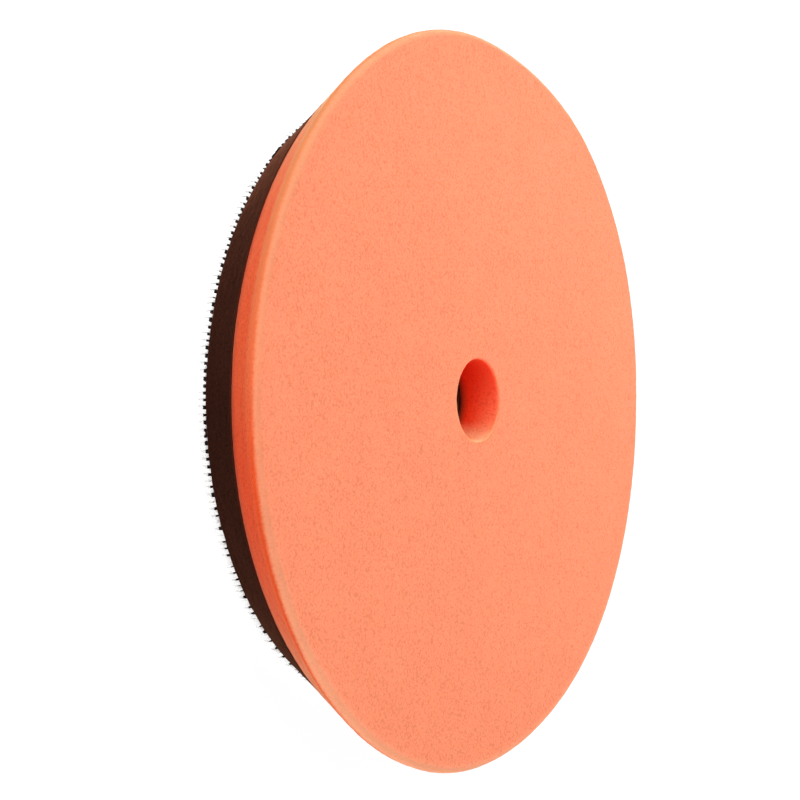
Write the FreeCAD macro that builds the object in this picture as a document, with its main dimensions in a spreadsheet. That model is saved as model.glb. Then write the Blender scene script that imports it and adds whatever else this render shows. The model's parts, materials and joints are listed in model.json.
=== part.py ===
import FreeCAD, Part
import math
import os
import Sketcher

# Foam polishing pad for a random-orbital machine: two tapered foam layers and a loop cloth, bonded face to
# face, with one hole punched through the whole stack. The pad lies on its loop pile. The origin is the centre
# of the face it lies on, and +Z runs along the pad's axis to the working face. Lengths are in millimetres.

DRIVING_SIZES = (
    ("face_diameter", 152.0, "widest circle, halfway round the rim of the working face"),
    ("joint_diameter", 141.9, "circle where the two foams are bonded"),
    ("back_diameter", 127.0, "back of the interface foam, the backing film and the cloth"),
    ("hole_diameter", 17.0, "centring hole, punched through every layer"),
    ("rim_radius", 1.5, "rounding between the tapered wall and the working face"),
    ("hole_edge_radius", 0.4, "rounding between the hole and the working face"),
    ("face_foam_thickness", 9.5, "polishing foam"),
    ("face_film_thickness", 0.4, "hot-melt web between the two foams"),
    ("interface_foam_thickness", 11.5, "softer foam that lets the face follow curved panels"),
    ("backing_film_thickness", 0.5, "hot-melt web between the foam and the cloth"),
    ("ground_cloth_thickness", 0.6, "knitted ground that carries the pile"),
    ("pile_height", 1.0, "loops that the hooks of a backing plate grip"),
)

# The layers from the surface that the pad lies on upwards, and the driving size that is each one's thickness.
LAYERS = (
    ("loop_pile", "pile_height"),
    ("loop_ground_cloth", "ground_cloth_thickness"),
    ("backing_bond_film", "backing_film_thickness"),
    ("interface_foam", "interface_foam_thickness"),
    ("face_bond_film", "face_film_thickness"),
    ("face_foam", "face_foam_thickness"),
)

HOLE_RADIUS = "Sizes.hole_diameter / 2"
BACK_RADIUS = "Sizes.back_diameter / 2"
JOINT_RADIUS = "Sizes.joint_diameter / 2"
RIM_CENTRE_RADIUS = "Sizes.face_diameter / 2 - Sizes.rim_radius"
RIM_START_DEGREES = -33.0  # first guess of where the wall meets the rim's rounding, which the sketch then solves

ORIGIN = -1  # number of the geometry that holds a sketch's origin and its X axis
START, END, CENTRE = 1, 2, 3  # numbers of a curve's points

doc = FreeCAD.newDocument("polishing_pad")
size = {alias: value for alias, value, meaning in DRIVING_SIZES}


def make_sizes_sheet():
    sheet = doc.addObject("Spreadsheet::Sheet", "Sizes")
    for row, (alias, value, meaning) in enumerate(DRIVING_SIZES, start=1):
        sheet.set(f"A{row}", meaning)
        sheet.set(f"B{row}", str(value))
        sheet.setAlias(f"B{row}", alias)
    doc.recompute()


def make_body(node, base_height):
    """A body for one layer, standing at the height where the layers below it end."""
    body = doc.addObject("PartDesign::Body", node)
    body.Label = node
    if base_height:
        body.setExpression("Placement.Base.z", base_height)
    return body


def make_sketch(body, plane_role):
    plane = next(item for item in body.Origin.OriginFeatures if item.Role == plane_role)
    sketch = body.newObject("Sketcher::SketchObject", body.Name + "_outline")
    sketch.AttachmentSupport = [(plane, "")]
    sketch.MapMode = "FlatFace"
    return sketch


def bind(sketch, constraint, name, expression):
    """Adds a dimension to the sketch and ties it to the sheet."""
    index = sketch.addConstraint(constraint)
    sketch.renameConstraint(index, name)
    sketch.setExpression("Constraints." + name, expression)


def join(sketch, kind, loop):
    """Joins the end of each curve in the loop to the start of the next one."""
    for first, second in zip(loop, loop[1:] + loop[:1]):
        sketch.addConstraint(Sketcher.Constraint(kind(first, second), first, END, second, START))


def spin(body, sketch):
    """Revolves an outline in the XZ plane round the pad's axis."""
    turned = body.newObject("PartDesign::Revolution", body.Name + "_turned")
    turned.Profile = sketch
    turned.ReferenceAxis = (sketch, ["V_Axis"])
    turned.Angle = 360.0
    sketch.Visibility = False


def make_flat_ring(body, thickness, outer_radius):
    """A layer cut from sheet: two circles padded to the sheet's thickness."""
    sketch = make_sketch(body, "XY_Plane")
    for name, radius, guess in (
        ("outer_edge", outer_radius, size["back_diameter"] / 2),
        ("hole", HOLE_RADIUS, size["hole_diameter"] / 2),
    ):
        circle = sketch.addGeometry(Part.Circle(FreeCAD.Vector(), FreeCAD.Vector(0, 0, 1), guess))
        sketch.addConstraint(Sketcher.Constraint("Coincident", circle, CENTRE, ORIGIN, START))
        bind(sketch, Sketcher.Constraint("Radius", circle, guess), name, radius)
    sheet_layer = body.newObject("PartDesign::Pad", body.Name + "_sheet")
    sheet_layer.Profile = sketch
    sheet_layer.setExpression("Length", thickness)


def make_interface_foam(body, thickness):
    """A tapered ring: narrow at the cloth, wide at the polishing foam."""
    sketch = make_sketch(body, "XZ_Plane")
    hole, back, joint = (size[name] / 2 for name in ("hole_diameter", "back_diameter", "joint_diameter"))
    top = size["interface_foam_thickness"]
    corners = [FreeCAD.Vector(x, z) for x, z in ((hole, 0), (back, 0), (joint, top), (hole, top))]
    bottom, wall, upper, bore = (
        sketch.addGeometry(Part.LineSegment(corners[i], corners[(i + 1) % len(corners)])) for i in range(4)
    )
    join(sketch, lambda first, second: "Coincident", [bottom, wall, upper, bore])
    sketch.addConstraint(Sketcher.Constraint("Horizontal", bottom))
    sketch.addConstraint(Sketcher.Constraint("Horizontal", upper))
    sketch.addConstraint(Sketcher.Constraint("Vertical", bore))
    sketch.addConstraint(Sketcher.Constraint("PointOnObject", bottom, START, ORIGIN))
    bind(sketch, Sketcher.Constraint("DistanceX", bottom, START, hole), "hole", HOLE_RADIUS)
    bind(sketch, Sketcher.Constraint("DistanceX", bottom, END, back), "back", BACK_RADIUS)
    bind(sketch, Sketcher.Constraint("DistanceX", wall, END, joint), "joint", JOINT_RADIUS)
    bind(sketch, Sketcher.Constraint("DistanceY", wall, END, top), "thickness", thickness)
    spin(body, sketch)


def make_face_foam(body, thickness):
    """A tapered ring whose working face is rounded into the wall and into the hole."""
    sketch = make_sketch(body, "XZ_Plane")
    hole, joint = size["hole_diameter"] / 2, size["joint_diameter"] / 2
    rim, hole_edge, top = size["rim_radius"], size["hole_edge_radius"], size["face_foam_thickness"]
    rim_centre = FreeCAD.Vector(size["face_diameter"] / 2 - rim, top - rim)
    rim_start = math.radians(RIM_START_DEGREES)
    wall_top = rim_centre + FreeCAD.Vector(rim * math.cos(rim_start), rim * math.sin(rim_start))
    edge_centre = FreeCAD.Vector(hole + hole_edge, top - hole_edge)
    axis = FreeCAD.Vector(0, 0, 1)

    def line(x1, z1, x2, z2):
        return sketch.addGeometry(Part.LineSegment(FreeCAD.Vector(x1, z1), FreeCAD.Vector(x2, z2)))

    def arc(centre, radius, first_angle, last_angle):
        circle = Part.Circle(centre, axis, radius)
        return sketch.addGeometry(Part.ArcOfCircle(circle, first_angle, last_angle))

    bottom = line(hole, 0, joint, 0)
    wall = line(joint, 0, wall_top.x, wall_top.y)
    rim_arc = arc(rim_centre, rim, rim_start, math.pi / 2)
    face = line(rim_centre.x, top, edge_centre.x, top)
    edge_arc = arc(edge_centre, hole_edge, math.pi / 2, math.pi)
    bore = line(hole, edge_centre.y, hole, 0)
    arcs = (rim_arc, edge_arc)
    join(
        sketch,
        lambda first, second: "Tangent" if first in arcs or second in arcs else "Coincident",
        [bottom, wall, rim_arc, face, edge_arc, bore],
    )
    sketch.addConstraint(Sketcher.Constraint("Horizontal", bottom))
    sketch.addConstraint(Sketcher.Constraint("Horizontal", face))
    sketch.addConstraint(Sketcher.Constraint("Vertical", bore))
    sketch.addConstraint(Sketcher.Constraint("PointOnObject", bottom, START, ORIGIN))
    bind(sketch, Sketcher.Constraint("DistanceX", bottom, START, hole), "hole", HOLE_RADIUS)
    bind(sketch, Sketcher.Constraint("DistanceX", bottom, END, joint), "joint", JOINT_RADIUS)
    bind(sketch, Sketcher.Constraint("Radius", rim_arc, rim), "rim", "Sizes.rim_radius")
    bind(sketch, Sketcher.Constraint("DistanceX", rim_arc, CENTRE, rim_centre.x), "face", RIM_CENTRE_RADIUS)
    bind(sketch, Sketcher.Constraint("Radius", edge_arc, hole_edge), "hole_edge", "Sizes.hole_edge_radius")
    bind(sketch, Sketcher.Constraint("DistanceY", face, START, top), "thickness", thickness)
    spin(body, sketch)


def make_layers():
    flat_rings = {
        "loop_pile": BACK_RADIUS,
        "loop_ground_cloth": BACK_RADIUS,
        "backing_bond_film": BACK_RADIUS,
        "face_bond_film": JOINT_RADIUS,
    }
    bodies = []
    base_height = ""
    for node, thickness_alias in LAYERS:
        thickness = "Sizes." + thickness_alias
        body = make_body(node, base_height)
        if node in flat_rings:
            make_flat_ring(body, thickness, flat_rings[node])
        elif node == "interface_foam":
            make_interface_foam(body, thickness)
        else:
            make_face_foam(body, thickness)
        base_height = base_height + " + " + thickness if base_height else thickness
        bodies.append(body)
    return bodies


def check_document():
    """Stops before anything is written if an object failed or a sketch is loose."""
    for item in doc.Objects:
        if {"Invalid", "Error"} & set(item.State):
            raise RuntimeError(f"{item.Name} failed: {item.State}")
        if item.TypeId == "Sketcher::SketchObject" and not item.FullyConstrained:
            raise RuntimeError(f"{item.Name} is not fully constrained")


def write_parts(bodies):
    os.makedirs("parts", exist_ok=True)
    for body in bodies:
        if body.Shape.isNull() or not body.Shape.isValid() or len(body.Shape.Solids) != 1:
            raise RuntimeError(f"{body.Label} is not one valid solid")
    for body in bodies:
        body.Shape.exportStep(os.path.join("parts", body.Label + ".step"))
        box = body.Shape.optimalBoundingBox()
        print(f"{body.Label}: {box.XLength:.2f} wide, z {box.ZMin:.2f} to {box.ZMax:.2f} mm")


make_sizes_sheet()
pad_layers = make_layers()
doc.recompute()
check_document()
write_parts(pad_layers)
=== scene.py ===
import json
import math

import bpy
import numpy as np
from mathutils import Matrix, Vector

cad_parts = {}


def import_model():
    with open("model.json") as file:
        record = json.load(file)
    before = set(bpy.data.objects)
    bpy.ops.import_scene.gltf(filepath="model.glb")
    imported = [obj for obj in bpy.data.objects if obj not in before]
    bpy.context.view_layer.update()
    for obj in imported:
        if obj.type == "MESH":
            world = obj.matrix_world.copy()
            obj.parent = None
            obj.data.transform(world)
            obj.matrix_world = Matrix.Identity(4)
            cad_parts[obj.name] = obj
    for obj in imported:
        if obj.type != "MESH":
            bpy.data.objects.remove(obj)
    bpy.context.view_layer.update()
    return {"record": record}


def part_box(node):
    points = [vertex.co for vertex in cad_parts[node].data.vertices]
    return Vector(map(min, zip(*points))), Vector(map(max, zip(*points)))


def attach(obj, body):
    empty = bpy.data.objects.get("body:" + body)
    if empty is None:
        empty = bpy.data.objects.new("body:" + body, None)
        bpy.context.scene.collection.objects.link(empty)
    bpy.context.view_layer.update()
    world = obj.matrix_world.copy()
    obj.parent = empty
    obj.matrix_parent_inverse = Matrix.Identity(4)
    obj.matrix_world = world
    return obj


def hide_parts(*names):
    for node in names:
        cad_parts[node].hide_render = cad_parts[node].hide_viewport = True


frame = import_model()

MM = 0.001
SEED = 7


# ---------------------------------------------------------------- sizes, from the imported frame

def outer_radius(node):
    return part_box(node)[1].x


def levels(node):
    low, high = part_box(node)
    return low.z, high.z


FACE_R = outer_radius("face_foam")
JOINT_R = outer_radius("interface_foam")
BACK_R = outer_radius("loop_pile")
hole_mount = next(m for m in frame["record"]["mounts"] if m["name"] == "centre_hole")
HOLE_R = hole_mount["dims"]["r_mm"] * MM
FLOOR_Z, PILE_TOP = levels("loop_pile")
GROUND_TOP = levels("loop_ground_cloth")[1]
BACKING_FILM_TOP = levels("backing_bond_film")[1]
INTERFACE_TOP = levels("interface_foam")[1]
FACE_BASE, FACE_TOP = levels("face_foam")

RIM_ROUNDING = 1.5 * MM  # this one and the next are the CAD part's own, which the frame doesn't give
HOLE_ROUNDING = 0.4 * MM
WIDEST_HEIGHT = FACE_TOP - RIM_ROUNDING
TOUCHING = 1e-6  # points nearer than this to a bonded face belong to it


# ---------------------------------------------------------------- mesh helpers

class Relief:
    """A smooth random field: plane waves of nearby lengths added up. Most values are from -1 to 1."""

    def __init__(self, seed, shortest, longest, waves=48):
        rng = np.random.default_rng(seed)
        directions = rng.normal(size=(waves, 3))
        directions /= np.linalg.norm(directions, axis=1)[:, None]
        lengths = np.exp(rng.uniform(math.log(shortest), math.log(longest), waves))
        self.waves = directions * (2 * math.pi / lengths)[:, None]
        self.phases = rng.uniform(0, 2 * math.pi, waves)

    def __call__(self, points):
        return np.cos(points @ self.waves.T + self.phases).sum(axis=1) * math.sqrt(2 / len(self.phases)) / 2


def smoothstep(value, low, high):
    share = np.clip((value - low) / (high - low), 0, 1)
    return share * share * (3 - 2 * share)


def new_mesh_object(name, vertices, faces, material, smooth=True):
    mesh = bpy.data.meshes.new(name)
    mesh.from_pydata([tuple(v) for v in vertices], [], [tuple(f) for f in faces])
    mesh.validate()
    mesh.polygons.foreach_set("use_smooth", [smooth] * len(mesh.polygons))
    mesh.materials.append(material)
    mesh.update()
    piece = bpy.data.objects.new(name, mesh)
    bpy.context.scene.collection.objects.link(piece)
    return piece


def paint(piece, name, values):
    """Stores one number per vertex, for the material to read."""
    attribute = piece.data.attributes.new(name, "FLOAT", "POINT")
    attribute.data.foreach_set("value", np.asarray(values, dtype=np.float32))


def stitch(outer, inner):
    """Faces between two rings of vertex numbers. One ring has a whole number of times the other's count."""
    if len(outer) == len(inner):
        n = len(outer)
        return [(outer[i], outer[(i + 1) % n], inner[(i + 1) % n], inner[i]) for i in range(n)]
    faces = []
    fine, coarse, flip = (outer, inner, False) if len(outer) > len(inner) else (inner, outer, True)
    times = len(fine) // len(coarse)
    for j in range(len(coarse)):
        following = coarse[(j + 1) % len(coarse)]
        for k in range(times):
            a = fine[j * times + k]
            b = fine[(j * times + k + 1) % len(fine)]
            face = (a, b, coarse[j]) if k < times - 1 else (a, b, following, coarse[j])
            faces.append(face[::-1] if flip else face)
    return faces


def lathe(profile):
    """Vertices, normals and faces of a closed profile turned round Z. The profile is a list of (radius,
    height, points round), and it runs so that the solid is on its left."""
    rings, vertices, normals = [], [], []
    flat = np.array([(r, z) for r, z, n in profile])
    tangent = np.roll(flat, -1, axis=0) - np.roll(flat, 1, axis=0)
    tangent /= np.linalg.norm(tangent, axis=1)[:, None]
    first = 0
    for (r, z, n), (tr, tz) in zip(profile, tangent):
        angle = np.arange(n) * (2 * math.pi / n)
        vertices.append(np.stack([r * np.cos(angle), r * np.sin(angle), np.full(n, z)], axis=1))
        normals.append(np.stack([tz * np.cos(angle), tz * np.sin(angle), np.full(n, -tr)], axis=1))
        rings.append(list(range(first, first + n)))
        first += n
    faces = []
    for lower, upper in zip(rings, rings[1:] + rings[:1]):
        faces += stitch(lower, upper)
    return np.concatenate(vertices), np.concatenate(normals), faces


def straight(start, end, step, count):
    """Points of a profile from start up to, but not at, end."""
    n = max(1, round(math.dist(start, end) / step))
    dr, dz = end[0] - start[0], end[1] - start[1]
    return [(start[0] + dr * i / n, start[1] + dz * i / n, count) for i in range(n)]


def rounded(centre, radius, first_degrees, last_degrees, steps, count):
    """Points of a profile round an arc, up to, but not at, its end."""
    sweep = last_degrees - first_degrees
    angles = [math.radians(first_degrees + sweep * i / steps) for i in range(steps)]
    return [(centre[0] + radius * math.cos(a), centre[1] + radius * math.sin(a), count) for a in angles]


# ---------------------------------------------------------------- materials

class Nodes:
    """Short calls for building one material's nodes."""

    def __init__(self, name):
        self.material = bpy.data.materials.new(name)
        self.material.use_nodes = True
        self.tree = self.material.node_tree
        self.tree.nodes.clear()
        self.output = self.add("ShaderNodeOutputMaterial")

    def add(self, kind, inputs=(), **settings):
        node = self.tree.nodes.new(kind)
        for key, value in settings.items():
            setattr(node, key, value)
        for key, value in dict(inputs).items():
            self.put(node.inputs[key], value)
        return node

    def put(self, socket, value):
        if isinstance(value, bpy.types.NodeSocket):
            self.tree.links.new(value, socket)
        else:
            socket.default_value = value

    def maths(self, operation, a, b):
        return self.add("ShaderNodeMath", {0: a, 1: b}, operation=operation).outputs[0]

    def blend(self, factor, first, second, mode="MIX"):
        node = self.add("ShaderNodeMix", data_type="RGBA", blend_type=mode)
        colours = [s for s in node.inputs if s.type == "RGBA"]
        self.put(node.inputs[0], factor)
        self.put(colours[0], first)
        self.put(colours[1], second)
        return next(s for s in node.outputs if s.type == "RGBA")

    def steps(self, value, low, high, new_low=0.0, new_high=1.0):
        return self.add(
            "ShaderNodeMapRange",
            {"Value": value, "From Min": low, "From Max": high, "To Min": new_low, "To Max": new_high},
            interpolation_type="SMOOTHSTEP",
        ).outputs[0]

    def painted(self, name):
        return self.add("ShaderNodeAttribute", attribute_name=name).outputs["Fac"]

    def place(self):
        return self.add("ShaderNodeTexCoord").outputs["Object"]

    def noise(self, size, detail, roughness, place=None):
        """Noise whose lumps are about size across, in metres."""
        inputs = {"Scale": 1 / size, "Detail": detail, "Roughness": roughness}
        inputs["Vector"] = place or self.place()
        return self.add("ShaderNodeTexNoise", inputs).outputs["Fac"]

    def cells(self, size, place):
        """Distance to the middle of the nearest of many round cells that are about size across."""
        return self.add("ShaderNodeTexVoronoi", {"Scale": 1 / size, "Vector": place}).outputs["Distance"]

    def bump(self, height, strength, distance):
        inputs = {"Height": height, "Strength": strength, "Distance": distance}
        return self.add("ShaderNodeBump", inputs).outputs[0]

    def finish(self, inputs):
        """Adds the shader with these inputs and gives back the finished material."""
        shader = self.add("ShaderNodeBsdfPrincipled", inputs)
        self.put(self.output.inputs["Surface"], shader.outputs[0])
        return self.material


def foam_grain(n, place, cell_size):
    """Height of open-cell foam: rounded strut tips with pores between them, and finer fibres on top."""
    from_tip = n.cells(cell_size, place)
    fine = n.noise(cell_size * 0.6, 2.0, 0.6, place)
    return n.maths("ADD", n.maths("MULTIPLY", from_tip, -0.7), n.maths("MULTIPLY", fine, 0.9))


def pore_share(n, height):
    """1 at the bottom of a pore and 0 on a strut's tip."""
    return n.steps(height, 0.25, -0.3)


def tone(n, colour, place, strength):
    """Soft blotches over a colour, from the uneven density of the foam."""
    blotch = n.noise(8 * MM, 3.0, 0.55, place)
    drift = n.noise(35 * MM, 1.0, 0.5, place)
    value = n.maths(
        "ADD",
        n.steps(blotch, 0.3, 0.7, 1 - strength, 1 + strength),
        n.steps(drift, 0.3, 0.7, -strength * 0.6, strength * 0.6),
    )
    return n.add("ShaderNodeHueSaturation", {"Color": colour, "Value": value}).outputs[0]


ORANGE_FACE = (0.915, 0.269, 0.144, 1)
ORANGE_FACE_PORE = (0.77, 0.205, 0.100, 1)
ORANGE_EDGE = (0.67, 0.105, 0.033, 1)  # the top of the wall
ORANGE_EDGE_SHADED = (0.49, 0.168, 0.065, 1)  # painted shade: the same, darker and duller on the +Y side
# Painted shade: the wall and the hole are the same foam as the face, given deeper and more saturated
# colours for the shade they stand in.
ORANGE_WALL = (0.61, 0.067, 0.0150, 1)
ORANGE_WALL_PORE = (0.48, 0.042, 0.0090, 1)
WALL_SHADE_TINT = (1.0, 0.70, 0.45, 1)  # painted shade: the most shaded stretch of the wall is the most saturated
RIM_TINT = (0.83, 0.97, 0.93, 1)  # how much duller the face colour is along the rubbed rim, and on the hole's lip, where it is painted shade
DUST_TINT = (1.09, 1.27, 1.35, 1)  # how much paler the rubbed rim is where dust has stayed on it
RIM_SHADE_TINT = (0.85, 0.95, 0.95, 1)  # painted shade: how much darker the rim is on the +Y side, and the hole's lip on the low side
ORANGE_GLUED = (0.34, 0.035, 0.012, 1)  # the foot of the wall, where glue has soaked in
# near black at the hole's far end: the glue joint with painted shade on it
ORANGE_HOLE_GLUE_AND_SHADE = (0.14, 0.010, 0.004, 1)
HOLE_PORE_TINT = (0.86, 0.70, 0.62, 1)
ORANGE_HOLE = (0.99, 0.26, 0.125, 1)
# painted shade: red deeper in the hole and on its +Y side
ORANGE_HOLE_SHADED = (0.95, 0.045, 0.008, 1)
ORANGE_HOLE_LIT = (1.0, 0.41, 0.20, 1)  # painted light on the hole's -Y side, which faces the light from +Y
BROWN = (0.026, 0.0080, 0.0050, 1)
BROWN_PORE = (0.013, 0.0047, 0.0032, 1)
BROWN_GLUED = (0.07, 0.012, 0.006, 1)


def face_colour(n, pore, ragged):
    """Peach face with darker pores; along the rubbed rim it is duller, its pores filled in, and paler on
    the dusty side; painted shade darkens the rim's +Y side and the low side of the hole's lip.
    """
    # the worn rim, and painted shade on the low side of the hole's lip
    wear = n.painted("wear_and_lip_shade")
    open_pore = n.maths("MULTIPLY", pore, n.steps(wear, 0.0, 1.0, 1.0, 0.4))
    colour = n.blend(open_pore, ORANGE_FACE, ORANGE_FACE_PORE)
    rubbed = n.maths("MULTIPLY", wear, n.steps(ragged, 0.2, 0.8, 0.85, 1.0))
    colour = n.blend(rubbed, colour, RIM_TINT, "MULTIPLY")
    colour = n.blend(n.painted("rim_dust"), colour, DUST_TINT, "MULTIPLY")
    # painted shade on the rim's +Y side and on the low side of the hole's lip
    return n.blend(n.painted("rim_shade"), colour, RIM_SHADE_TINT, "MULTIPLY")


def wall_colour(n, pore):
    """Painted shade: the cut wall in a deeper orange than the face, paler towards the rim, deepest in its
    most shaded stretch and darker at its top on the +Y side, and dark red where glue has soaked in.
    """
    edge = n.painted("wall_edge")
    colour = n.blend(edge, ORANGE_WALL, ORANGE_EDGE)
    edge_pore = n.maths("MULTIPLY", pore, n.steps(edge, 0.2, 1.0, 1.0, 0.45))
    colour = n.blend(edge_pore, colour, ORANGE_WALL_PORE)
    # painted shade: the wall's most shaded stretch made more saturated
    colour = n.blend(n.painted("shaded_wall_stretch"), colour, WALL_SHADE_TINT, "MULTIPLY")
    # painted shade: the top of the wall darker and duller on the +Y side
    colour = n.blend(n.painted("shaded_edge"), colour, ORANGE_EDGE_SHADED)
    return n.blend(n.painted("glue_soak"), colour, ORANGE_GLUED)


def hole_colour(n, pore):
    """Painted light and shade in the hole: orange at its mouth, red further in and on its +Y side, paler
    along its -Y side, and near black at the glue line, a dark joint deepened with painted shade.
    """
    colour = n.blend(n.painted("hole_shade"), ORANGE_HOLE, ORANGE_HOLE_SHADED)
    colour = n.blend(n.painted("hole_painted_light"), colour, ORANGE_HOLE_LIT)
    colour = n.blend(pore, colour, HOLE_PORE_TINT, "MULTIPLY")
    return n.blend(n.painted("hole_glue_and_shade"), colour, ORANGE_HOLE_GLUE_AND_SHADE)


def orange_foam_material():
    """Orange polishing foam, with more light scattered through it round the hole, and a faint painted red
    glow on the hole's shaded side."""
    n = Nodes("orange_polishing_foam")
    place = n.place()
    height = foam_grain(n, place, 0.5 * MM)
    pore = pore_share(n, height)
    ragged = n.noise(0.7 * MM, 2.0, 0.6, place)
    uneven = n.steps(ragged, 0.3, 0.7, -0.07, 0.07)
    wall = n.steps(n.maths("ADD", n.painted("cut_wall"), uneven), 0.05, 0.95)
    in_hole = n.painted("hole_wall")
    # The wall and the hole take painted-shade colours in place of the face's.
    cut = n.blend(in_hole, wall_colour(n, pore), hole_colour(n, pore))
    colour = n.blend(wall, face_colour(n, pore, ragged), cut)
    return n.finish(
        {
            "Base Color": tone(n, colour, place, 0.02),
            "Roughness": 0.95,
            "Specular IOR Level": 0.1,
            "Subsurface Weight": n.steps(in_hole, 0.0, 1.0, 0.2, 0.9),
            "Subsurface Radius": (1.0, 0.25, 0.12),
            "Subsurface Scale": n.steps(in_hole, 0.0, 1.0, 1.8 * MM, 5.0 * MM),
            "Emission Color": (1.0, 0.0, 0.0, 1),
            # painted glow on the hole's shaded side
            "Emission Strength": n.steps(n.painted("hole_glow"), 0.0, 1.0, 0.0, 0.17),
            "Sheen Weight": n.steps(n.painted("wall_bloom"), 0.0, 1.0, 0.08, 0.5),
            "Sheen Roughness": 0.2,
            "Sheen Tint": (0.62, 0.92, 0.52, 1),
            "Normal": n.bump(height, 0.45, 0.1 * MM),
        }
    )


def brown_foam_material():
    """Dark brown interface foam with darker pores and a dull bloom at a low angle, stronger on the +Y side
    as a painted highlight.
    """
    n = Nodes("brown_interface_foam")
    place = n.place()
    height = foam_grain(n, place, 0.55 * MM)
    colour = n.blend(pore_share(n, height), BROWN, BROWN_PORE)
    colour = n.blend(n.painted("glue_soak"), colour, BROWN_GLUED)
    return n.finish(
        {
            "Base Color": tone(n, colour, place, 0.08),
            "Roughness": 0.95,
            "Specular IOR Level": 0.0,
            # painted highlight: more sheen on the +Y side
            "Sheen Weight": n.steps(n.painted("painted_side_sheen"), 0.0, 1.0, 0.17, 0.30),
            "Sheen Roughness": 0.2,
            "Sheen Tint": (1.0, 0.36, 0.20, 1),
            "Normal": n.bump(height, 0.5, 0.12 * MM),
        }
    )


def film_material(name, dark, light):
    """Hot-melt web squeezed to a thin line: satin strands over darker gaps."""
    n = Nodes(name)
    strands = n.noise(0.5 * MM, 3.0, 0.6)
    return n.finish(
        {
            "Base Color": n.blend(n.steps(strands, 0.4, 0.65), dark, light),
            "Roughness": n.steps(strands, 0.3, 0.7, 0.85, 0.6),
            "Specular IOR Level": 0.05,
            "Normal": n.bump(strands, 0.5, 0.1 * MM),
        }
    )


def yarn_material(name, light, shadow):
    """Pale polyester yarn: fine filaments, a soft sheen, slightly grey hollows, and a faint painted glow
    that keeps it white."""
    n = Nodes(name)
    place = n.place()
    filaments = n.noise(0.12 * MM, 3.0, 0.65, place)
    lots = n.noise(2.2 * MM, 2.0, 0.5, place)
    colour = n.blend(n.steps(filaments, 0.35, 0.65), shadow, light)
    value = n.steps(lots, 0.3, 0.7, 0.96, 1.02)
    return n.finish(
        {
            "Base Color": n.add("ShaderNodeHueSaturation", {"Color": colour, "Value": value}).outputs[0],
            "Roughness": 0.8,
            "Specular IOR Level": 0.3,
            "Sheen Weight": 0.3,
            "Sheen Roughness": 0.4,
            "Subsurface Weight": 0.3,
            "Subsurface Radius": (1.0, 1.0, 1.0),
            "Subsurface Scale": 0.4 * MM,
            # painted glow: the yarn is no lamp
            "Emission Color": (0.97, 0.98, 1.0, 1),
            "Emission Strength": 0.13,
            "Normal": n.bump(filaments, 0.4, 0.05 * MM),
        }
    )


# ---------------------------------------------------------------- the foams

FINE = 720  # points round a ring near the rim
COARSE = FINE // 4  # points round the hole
STEP = 0.66 * MM  # from ring to ring on the faces that show


def tangent_degrees(base, centre, radius):
    """Direction, from the arc's centre, of the point where a line from the base point touches the arc."""
    dr, dz = centre[0] - base[0], centre[1] - base[1]
    along = math.atan2(dz, dr) + math.asin(radius / math.hypot(dr, dz))
    return math.degrees(along) - 90


def arc_point(centre, radius, degrees):
    a = math.radians(degrees)
    return centre[0] + radius * math.cos(a), centre[1] + radius * math.sin(a)


def face_rings():
    """The working face from the rim in to the hole, with fewer points round where the rings are small."""
    outer, inner = FACE_R - RIM_ROUNDING, HOLE_R + HOLE_ROUNDING
    rings = []
    for start, end, share in ((outer, outer / 2, 1), (outer / 2, outer / 4, 2), (outer / 4, inner, 4)):
        step = STEP if share < 4 else 0.5 * MM
        rings += straight((start, FACE_TOP), (end, FACE_TOP), step, FINE // share)
    return rings


def bonded_face(edge, inward=False):
    """A hidden flat face between the hole and the edge point, with fewer points round where it is small."""
    height = edge[1]
    legs = [
        ((HOLE_R, height), (20 * MM, height), 4 * MM, COARSE),
        ((20 * MM, height), (40 * MM, height), 5 * MM, FINE // 2),
        ((40 * MM, height), edge, 6 * MM, FINE),
    ]
    if inward:
        legs = [(end, start, step, count) for start, end, step, count in reversed(legs)]
    profile = []
    for start, end, step, count in legs:
        profile += straight(start, end, step, count)
    return profile


def face_profile():
    """Outline of the polishing foam: up the wall, round the rim, in across the face and down the hole."""
    centre = (FACE_R - RIM_ROUNDING, WIDEST_HEIGHT)
    base = (JOINT_R, FACE_BASE)
    first = tangent_degrees(base, centre, RIM_ROUNDING)
    edge = 0.1 * MM
    start = (base[0] - edge, FACE_BASE)
    lip = (base[0], FACE_BASE + edge)
    profile = straight(start, lip, edge, FINE)
    profile += straight(lip, arc_point(centre, RIM_ROUNDING, first), STEP, FINE)
    profile += rounded(centre, RIM_ROUNDING, first, 90, 12, FINE)
    profile += face_rings()
    mouth = FACE_TOP - HOLE_ROUNDING
    profile += rounded((HOLE_R + HOLE_ROUNDING, mouth), HOLE_ROUNDING, 90, 180, 5, COARSE)
    profile += straight((HOLE_R, mouth), (HOLE_R, FACE_BASE), 0.45 * MM, COARSE)
    return profile + bonded_face(start)


def interface_profile():
    """Outline of the dark foam. Its top edge stops short of the joint circle, which sets the joint back."""
    edge = 0.25 * MM
    bottom, top = BACKING_FILM_TOP, INTERFACE_TOP
    start = (BACK_R - edge, bottom)
    foot = (BACK_R + 0.05 * MM, bottom + edge)
    head = (JOINT_R - 0.4 * MM, top - 0.1 * MM)
    corner = (JOINT_R - 0.5 * MM, top)
    profile = straight(start, foot, edge, FINE)
    profile += straight(foot, head, STEP, FINE)
    profile += straight(head, corner, edge, FINE)
    profile += bonded_face(corner, inward=True)
    profile += straight((HOLE_R, top), (HOLE_R, bottom), 0.5 * MM, COARSE)
    return profile + bonded_face(start)


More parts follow.
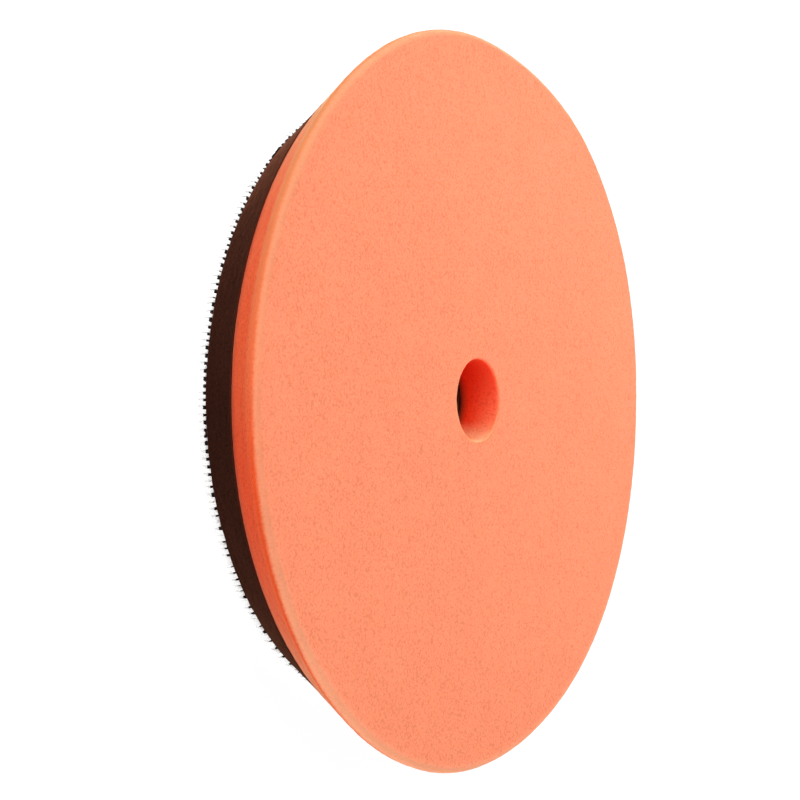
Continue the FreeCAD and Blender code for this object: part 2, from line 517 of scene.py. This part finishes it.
# Flattened and pushed-out stretches of the rim: angle and half width in degrees, and depth inward in mm.
FLATS = ((-2, 28, 1.8), (76, 18, 1.2), (-95, 13, -0.35))


def press_in(vertices):
    """The soft rim isn't quite round: it is flattened a little in two places and pushed out in a third."""
    radius = np.hypot(vertices[:, 0], vertices[:, 1])
    angle = np.degrees(np.arctan2(vertices[:, 1], vertices[:, 0]))
    share = smoothstep(vertices[:, 2], FACE_BASE, WIDEST_HEIGHT)
    share = share * smoothstep(radius, FACE_R - 22 * MM, FACE_R)
    depth = np.zeros_like(radius)
    for middle, half_width, deep in FLATS:
        away = (angle - middle + 180) % 360 - 180
        depth += deep * MM * np.exp(-((away / half_width) ** 2))
    scale = 1 - share * depth / np.maximum(radius, HOLE_R)
    return vertices * np.stack([scale, scale, np.ones_like(scale)], axis=1)


def roughen(vertices, normals, bonded, depth, seed):
    """Pushes a foam surface in and out: small lumps and a slight waviness. Bonded faces stay flat."""
    lumps = Relief(seed, 1.5 * MM, 3.5 * MM)(vertices)
    swells = Relief(seed + 1, 14 * MM, 40 * MM, 16)(vertices)
    push = (depth * lumps + 0.05 * MM * swells) * ~bonded
    return vertices + normals * push[:, None]


def paint_wall(piece, z, low_side, below_rim, in_hole):
    """The cut wall: its bloom, its painted shade paling towards the rim, deepest in its most shaded stretch
    and darker at its top on the +Y side, and the glue at its foot.
    """
    above_joint = smoothstep(z, FACE_BASE + 0.05 * MM, FACE_BASE + 0.9 * MM)
    rim_band = smoothstep(z, WIDEST_HEIGHT - 2.6 * MM, WIDEST_HEIGHT - 0.4 * MM)
    paint(piece, "wall_bloom", below_rim * above_joint * (1 - in_hole))
    paint(piece, "wall_edge", smoothstep(z, WIDEST_HEIGHT - 3.4 * MM, WIDEST_HEIGHT))
    # painted shade: the top of the wall darker and duller on the +Y side
    paint(piece, "shaded_edge", rim_band * (1 - smoothstep(low_side, 0.1, 0.6)))
    # painted shade on the wall's most shaded stretch, between the lit +Y and -Y sides
    paint(piece, "shaded_wall_stretch", smoothstep(low_side, 0.47, 0.6) * (1 - smoothstep(low_side, 0.74, 0.92)))
    paint(piece, "glue_soak", 1 - smoothstep(z, FACE_BASE - 0.4 * MM, FACE_BASE + 2.0 * MM))


def paint_wear_and_shade(piece, radius, worn_z, low_side, dusty, lip):
    """Wear on the rim, paler on its dusty side, and painted shade on the rim's +Y side and on the low side
    of the hole's lip.
    """
    rounding = smoothstep(worn_z, WIDEST_HEIGHT - 0.2 * MM, WIDEST_HEIGHT + 0.3 * MM)
    dusty_rim = rounding * dusty * smoothstep(radius, FACE_R - 2.4 * MM, FACE_R - 0.7 * MM)
    rubbed_rim = rounding * smoothstep(radius, FACE_R - 1.8 * MM, FACE_R - 0.7 * MM)
    # painted shade on the rim's +Y side
    shaded_rim = rubbed_rim * (1 - smoothstep(low_side, 0.15, 0.5))
    # painted shade on the low side of the hole's lip, where the side lamp lights its rounding
    lip_shade = lip * (1 - smoothstep(radius, HOLE_R + 0.3 * MM, HOLE_R + 0.9 * MM)) * low_side
    paint(piece, "wear_and_lip_shade", np.maximum(rubbed_rim, lip_shade))
    paint(piece, "rim_dust", dusty_rim)
    paint(piece, "rim_shade", np.maximum(shaded_rim, lip_shade))


def paint_hole(piece, z, low_side, in_hole, lip):
    """The hole's painted light and shade: lit from its mouth, red deeper in and on its +Y side, palest
    along its floor on the low side, and glued and shaded at its far end.
    """
    lit = smoothstep(z, FACE_TOP - 8 * MM, FACE_TOP - 0.5 * MM) * (0.15 + 0.85 * low_side)
    paint(piece, "hole_wall", in_hole)
    # painted shade: deeper in the hole and on its +Y side
    paint(piece, "hole_shade", 1 - lit)
    # the glue joint at the hole's far end, with painted shade deep in the hole
    paint(piece, "hole_glue_and_shade", 1 - smoothstep(z, FACE_BASE - 0.8 * MM, FACE_BASE + 2.3 * MM))
    # painted light along the hole's floor on the low side
    paint(piece, "hole_painted_light", 0.9 * in_hole * (1 - lip) * smoothstep(low_side, 0.74, 1.0))
    paint(piece, "hole_glow", in_hole * (1 - low_side) ** 2)


def face_piece():
    """The polishing foam, with the shares that its material reads painted on it. Many of them depend on
    low_side, which is 0 at +Y and 1 at -Y, because the two sides are worn and lit differently."""
    vertices, normals, faces = lathe(face_profile())
    radius = np.hypot(vertices[:, 0], vertices[:, 1])
    z = vertices[:, 2]
    bonded = z < FACE_BASE + TOUCHING
    shaped = press_in(roughen(vertices, normals, bonded, 0.028 * MM, SEED + 1))
    piece = new_mesh_object("face_foam_body", shaped, faces, orange_foam_material())
    low_side = (1 - np.sin(np.arctan2(vertices[:, 1], vertices[:, 0]))) / 2
    dusty = smoothstep(low_side, 0.5, 0.9)
    worn_z = z + 0.5 * MM * dusty  # on the dusty side the wear reaches further down the wall
    in_hole = 1 - smoothstep(radius, HOLE_R + 0.1 * MM, HOLE_R + 1.2 * MM)
    lip = smoothstep(z, FACE_TOP - 0.7 * MM, FACE_TOP - 0.2 * MM)
    below_rim = 1 - smoothstep(worn_z, WIDEST_HEIGHT - 0.2 * MM, WIDEST_HEIGHT + 1.4 * MM)
    mouth = (0.9 + 1.5 * low_side) * MM  # depth in which the face's colour gives way to the hole's
    below_lip = 1 - smoothstep(z, FACE_TOP - mouth, FACE_TOP + mouth * (0.33 + 0.4 * low_side))
    paint(piece, "cut_wall", np.where(in_hole > 0, below_lip * in_hole, below_rim))
    paint_wall(piece, z, low_side, below_rim, in_hole)
    paint_wear_and_shade(piece, radius, worn_z, low_side, dusty, lip)
    paint_hole(piece, z, low_side, in_hole, lip)
    return piece


def interface_piece():
    """The dark foam, with glue painted under the joint and a painted highlight, more sheen, on its +Y side.
    """
    vertices, normals, faces = lathe(interface_profile())
    z = vertices[:, 2]
    bonded = (z < BACKING_FILM_TOP + TOUCHING) | (z > INTERFACE_TOP - TOUCHING)
    shaped = roughen(vertices, normals, bonded, 0.03 * MM, SEED + 3)
    piece = new_mesh_object("interface_foam_body", shaped, faces, brown_foam_material())
    paint(piece, "glue_soak", smoothstep(z, INTERFACE_TOP - 0.6 * MM, INTERFACE_TOP))
    # painted highlight: more sheen on the +Y side
    paint(piece, "painted_side_sheen", smoothstep(vertices[:, 1] / BACK_R, -0.1, 0.3))
    return piece


# ---------------------------------------------------------------- bond films and cloth

def flat_ring(name, inner, outer, low, high, material, edge_wave=None):
    """A thin ring with a rounded outer edge. edge_wave moves the outer edge in and out, by angle."""
    half = (high - low) / 2
    middle = (low + high) / 2
    profile = rounded((outer - half, middle), half, -90, 90, 6, FINE)
    profile += straight((outer - half, high), (inner, high), 6 * MM, FINE)
    profile += straight((inner, high), (inner, low), (high - low) / 2, FINE)
    profile += straight((inner, low), (outer - half, low), 6 * MM, FINE)
    vertices, normals, faces = lathe(profile)
    if edge_wave is not None:
        radius = np.hypot(vertices[:, 0], vertices[:, 1])
        share = np.clip((radius - (outer - 1.5 * MM)) / (1.5 * MM), 0, 1)
        angle = np.arctan2(vertices[:, 1], vertices[:, 0])
        wanted = radius + edge_wave(angle) * share
        vertices[:, :2] *= (wanted / radius)[:, None]
    return new_mesh_object(name, vertices, faces, material)


def ragged(seed, depth):
    """A seeded uneven wave by angle, for a squeezed edge."""
    field = Relief(seed, 1.2 * MM, 5 * MM)

    def wave(angle):
        points = np.stack([JOINT_R * np.cos(angle), JOINT_R * np.sin(angle), np.zeros_like(angle)], axis=1)
        return field(points) * depth

    return wave


def tubes(paths, radius, sides, closed=False):
    """Vertices and faces of round tubes along several paths, each an array of points. An open path has to
    bulge to one side, like an arch, and a closed one has to run round Z."""
    vertices, faces = [], []
    total = 0
    turn = np.arange(sides) * (2 * math.pi / sides)
    cosines, sines = np.cos(turn)[None, :, None], np.sin(turn)[None, :, None]
    for path in paths:
        if closed:
            along = np.roll(path, -1, axis=0) - np.roll(path, 1, axis=0)
            side = np.array([0.0, 0.0, 1.0])
        else:
            along = np.gradient(path, axis=0)
            side = np.cross(path[0] - path[len(path) // 2], path[-1] - path[0])
            side /= np.linalg.norm(side)
        along /= np.linalg.norm(along, axis=1)[:, None]
        across = np.cross(along, side)
        across /= np.linalg.norm(across, axis=1)[:, None]
        wide = np.cross(along, across)
        spokes = cosines * across[:, None, :] + sines * wide[:, None, :]
        vertices.append((path[:, None, :] + radius * spokes).reshape(-1, 3))
        count = len(path)
        for k in range(count if closed else count - 1):
            a = total + k * sides
            b = total + (k + 1) % count * sides
            faces += [(a + j, a + (j + 1) % sides, b + (j + 1) % sides, b + j) for j in range(sides)]
        if not closed:
            last = total + (count - 1) * sides
            faces.append(tuple(total + j for j in reversed(range(sides))))
            faces.append(tuple(last + j for j in range(sides)))
        total += count * sides
    return np.concatenate(vertices), faces


RIB_PITCH = 1.38 * MM  # from one yarn lump to the next along the cut edge
RIBS = round(2 * math.pi * BACK_R / RIB_PITCH)
SQUEEZED = 0.14 * MM  # how far the hot film has sunk into the knit
STRANDS = 4  # yarn strands in each lump
COURSES = (0.38 * MM, 0.72 * MM, 1.06 * MM, 1.38 * MM)  # heights of the yarns that run round the edge
PILE_PITCH = 1.55 * MM  # from one loop of the back to the next


def looseness(angle):
    """How far the cut edge has come loose at an angle, from 0, tight, to 1."""
    points = np.stack([BACK_R * np.cos(angle), BACK_R * np.sin(angle), np.zeros_like(angle)], axis=1)
    return np.clip(0.45 + 0.5 * Relief(SEED + 11, 6 * MM, 40 * MM, 24)(points), 0, 1)


def edge_loops(material):
    """Yarn lumps at the cut edge of the cloth, which curl up over the black film to the dark foam."""
    rng = np.random.default_rng(SEED + 20)
    paths = []
    angles = (np.arange(RIBS) + rng.uniform(-0.12, 0.12, RIBS)) * 2 * math.pi / RIBS
    foot = FLOOR_Z + 0.3 * MM
    inset = 0.7 * MM  # how far inside the back's circle each strand starts and ends
    share = np.linspace(0, 1, 10)
    swing = math.pi * share
    curl = np.maximum(np.sin(swing), 0) ** 0.55
    frayed_side = smoothstep(-np.sin(angles), 0.1, 0.45)
    for angle, slack, frayed in zip(angles, looseness(angles), frayed_side):
        reach = (0.05 + 0.30 * slack + rng.uniform(-0.05, 0.1)) * MM
        uneven = rng.uniform(-0.12, 0.12) * (1 + 2.5 * frayed)
        height = BACKING_FILM_TOP + (uneven + 0.25 * slack + 0.4 * frayed) * MM
        lean = rng.normal(0, 0.12) * (1 + 1.5 * frayed) * RIB_PITCH
        for strand in range(STRANDS):
            off_middle = strand - (STRANDS - 1) / 2
            aside = off_middle * (0.17 + 0.09 * frayed) * MM + rng.uniform(-0.03, 0.03) * MM
            extra = rng.uniform(-0.06, 0.06) * MM
            tall = height - foot - abs(off_middle) * 0.08 * MM
            out = BACK_R - inset + (inset + reach + extra) * curl
            turn = angle + (aside + lean * (share - 0.3)) / BACK_R
            up = foot + tall * (1 - np.cos(swing)) / 2
            paths.append(np.stack([out * np.cos(turn), out * np.sin(turn), up], axis=1))
    vertices, faces = tubes(paths, 0.14 * MM, 6)
    return new_mesh_object("edge_loops", vertices, faces, material)


def edge_courses(material):
    """Yarns of the ground knit, which run round inside the cut edge and close the gaps between lumps."""
    rng = np.random.default_rng(SEED + 25)
    paths = []
    count = RIBS * 6
    angle = np.arange(count) * 2 * math.pi / count
    for height in COURSES:
        phase = rng.uniform(0, 2 * math.pi)
        radius = BACK_R - 0.16 * MM + 0.05 * MM * np.cos(RIBS * angle + phase)
        z = FLOOR_Z + height + 0.08 * MM * np.cos(RIBS * angle + phase + 1.5)
        paths.append(np.stack([radius * np.cos(angle), radius * np.sin(angle), z], axis=1))
    vertices, faces = tubes(paths, 0.21 * MM, 6, closed=True)
    return new_mesh_object("edge_courses", vertices, faces, material)


def pile(material):
    """The loops of the back, in staggered rows. Each one is a small arch that leans its own way."""
    rng = np.random.default_rng(SEED + 30)
    paths = []
    rows = int(BACK_R / PILE_PITCH)
    share = np.linspace(0, 1, 7)
    bow = np.sin(math.pi * share)
    top = PILE_TOP + 0.05 * MM
    for row in range(-rows, rows + 1):
        for column in range(-rows, rows + 1):
            x = (column + 0.5 * (row % 2)) * PILE_PITCH + rng.uniform(-0.2, 0.2) * MM
            y = row * PILE_PITCH + rng.uniform(-0.2, 0.2) * MM
            heading = rng.normal(0.0, 0.5)
            span = rng.uniform(0.85, 1.25) * MM
            deep = rng.uniform(0.8, 1.0) * (top - FLOOR_Z - 0.17 * MM)
            lean = rng.uniform(-0.35, 0.35) * MM
            if not HOLE_R + 0.6 * MM < math.hypot(x, y) < BACK_R - 0.7 * MM:
                continue
            forward = (share - 0.5) * span * (1 + 0.5 * bow)
            side = lean * bow
            across = x + forward * math.cos(heading) - side * math.sin(heading)
            down = y + forward * math.sin(heading) + side * math.cos(heading)
            paths.append(np.stack([across, down, top - deep * bow], axis=1))
    vertices, faces = tubes(paths, 0.17 * MM, 3)
    return new_mesh_object("pile_loops", vertices, faces, material)


# ---------------------------------------------------------------- build the pieces

red_film = film_material("dark_red_bond", (0.030, 0.003, 0.0015, 1), (0.08, 0.008, 0.003, 1))
black_film = film_material("black_bond", (0.008, 0.007, 0.009, 1), (0.022, 0.018, 0.022, 1))
ground_yarn = yarn_material("ground_yarn", (0.92, 0.91, 0.89, 1), (0.80, 0.79, 0.77, 1))
pile_yarn = yarn_material("pile_yarn", (0.955, 0.945, 0.93, 1), (0.86, 0.85, 0.835, 1))

face = face_piece()
interface = interface_piece()
face_film = flat_ring(
    "face_bond_line",
    HOLE_R,
    JOINT_R - 0.35 * MM,
    INTERFACE_TOP,
    FACE_BASE,
    red_film,
    ragged(SEED + 5, 0.05 * MM),
)
backing_film = flat_ring(
    "backing_bond_line",
    HOLE_R,
    BACK_R + 0.02 * MM,
    GROUND_TOP - SQUEEZED,
    BACKING_FILM_TOP,
    black_film,
    ragged(SEED + 6, 0.06 * MM),
)
ground = flat_ring(
    "ground_cloth",
    HOLE_R,
    BACK_R - 0.2 * MM,
    PILE_TOP,
    GROUND_TOP - SQUEEZED,
    ground_yarn,
)
loops = pile(pile_yarn)
fringe = edge_loops(pile_yarn)
courses = edge_courses(ground_yarn)

for piece, node in (
    (face, "face_foam"),
    (interface, "interface_foam"),
    (face_film, "face_bond_film"),
    (backing_film, "backing_bond_film"),
    (ground, "loop_ground_cloth"),
    (courses, "loop_ground_cloth"),
    (loops, "loop_pile"),
    (fringe, "loop_pile"),
):
    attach(piece, "root")
    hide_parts(node)


# ---------------------------------------------------------------- floor, light and camera

def floor():
    """A wide white floor. Most of its brightness is its own, so the pad's shadow on it stays faint."""
    n = Nodes("pale_floor")
    colour = n.blend(n.noise(60 * MM, 2.0, 0.5), (0.11, 0.11, 0.11, 1), (0.13, 0.13, 0.13, 1))
    material = n.finish(
        {
            "Base Color": colour,
            "Roughness": 1.0,
            "Specular IOR Level": 0.0,
            "Emission Color": (1, 1, 1, 1),
            "Emission Strength": 0.96,
        }
    )
    half = 8.0  # metres from the middle to an edge
    corners = [(x * half, y * half, FLOOR_Z) for x, y in ((-1, -1), (1, -1), (1, 1), (-1, 1))]
    plane = new_mesh_object("floor", corners, [(0, 1, 2, 3)], material, smooth=False)


DIM_SKY, BRIGHT_SKY, HORIZON = 0.24, 0.60, 1.05  # strengths of the dome's -Y side, +Y side and horizon


def world():
    """A soft studio dome: brighter on the +Y side, and white along the horizon and below it."""
    made = bpy.data.worlds.new("studio")
    bpy.context.scene.world = made
    made.use_nodes = True
    tree = made.node_tree
    place = tree.nodes.new("ShaderNodeTexCoord")
    split = tree.nodes.new("ShaderNodeSeparateXYZ")
    tree.links.new(place.outputs["Generated"], split.inputs[0])

    def ramp(source, low, high, new_low, new_high):
        node = tree.nodes.new("ShaderNodeMapRange")
        node.interpolation_type = "SMOOTHSTEP"
        tree.links.new(source, node.inputs["Value"])
        limits = {"From Min": low, "From Max": high, "To Min": new_low, "To Max": new_high}
        for name, value in limits.items():
            if isinstance(value, bpy.types.NodeSocket):
                tree.links.new(value, node.inputs[name])
            else:
                node.inputs[name].default_value = value
        return node.outputs[0]

    sky = ramp(split.outputs["Y"], -0.8, 0.8, DIM_SKY, BRIGHT_SKY)
    strength = ramp(split.outputs["Z"], 0.22, 0.42, HORIZON, sky)
    background = tree.nodes["Background"]
    background.inputs["Color"].default_value = (1, 1, 1, 1)
    tree.links.new(strength, background.inputs["Strength"])


LAMPS = (  # name, place, width and height in metres, and power in watts
    ("key", (-0.6, 0.6, 1.0), 0.7, 0.7, 10),
    ("upper_strip", (-0.25, 0.5, 0.05), 0.6, 0.08, 1.5),
    ("lower_strip", (0, -0.5, 0.04), 0.6, 0.07, 1.2),
    ("side", (0.32, 0.22, 0.22), 0.2, 0.2, 1.35),
)


def softbox(name, place, width, height, power):
    """A flat lamp that faces the middle of the pad."""
    lamp = bpy.data.lights.new(name, "AREA")
    lamp.shape = "RECTANGLE"
    lamp.size = width
    lamp.size_y = height
    lamp.energy = power
    holder = bpy.data.objects.new(name, lamp)
    holder.location = place
    aim = Vector((0, 0, FACE_TOP)) - Vector(place)
    holder.rotation_mode = "QUATERNION"
    holder.rotation_quaternion = aim.to_track_quat("-Z", "Y")
    bpy.context.scene.collection.objects.link(holder)


VIEW_FROM_AXIS = math.radians(57.08)  # between the pad's axis and the camera's line of sight
CAMERA_DISTANCE = 5.523 * FACE_R
CAMERA_ASIDE = 0.197 * FACE_R  # how far to its left the camera stands, from straight before the pad
LENS_MM = 91.34


def camera():
    """Looks from the -X side, rolled so that +Y is up, as when the pad is held with its axis level."""
    s, c = math.sin(VIEW_FROM_AXIS), math.cos(VIEW_FROM_AXIS)
    right, up, back = Vector((c, 0, s)), Vector((0, 1, 0)), Vector((-s, 0, c))
    lens = bpy.data.cameras.new("camera")
    lens.lens = LENS_MM
    lens.sensor_width = 36
    lens.clip_start, lens.clip_end = 0.01, 50
    holder = bpy.data.objects.new("camera", lens)
    middle = Vector((0, 0, WIDEST_HEIGHT))
    turn = Matrix((right, up, back)).transposed()
    place = middle - right * CAMERA_ASIDE + back * CAMERA_DISTANCE
    holder.matrix_world = Matrix.Translation(place) @ turn.to_4x4()
    bpy.context.scene.collection.objects.link(holder)
    bpy.context.scene.camera = holder


floor()
world()
for lamp in LAMPS:
    softbox(*lamp)
camera()
bpy.context.scene.view_settings.view_transform = "Standard"
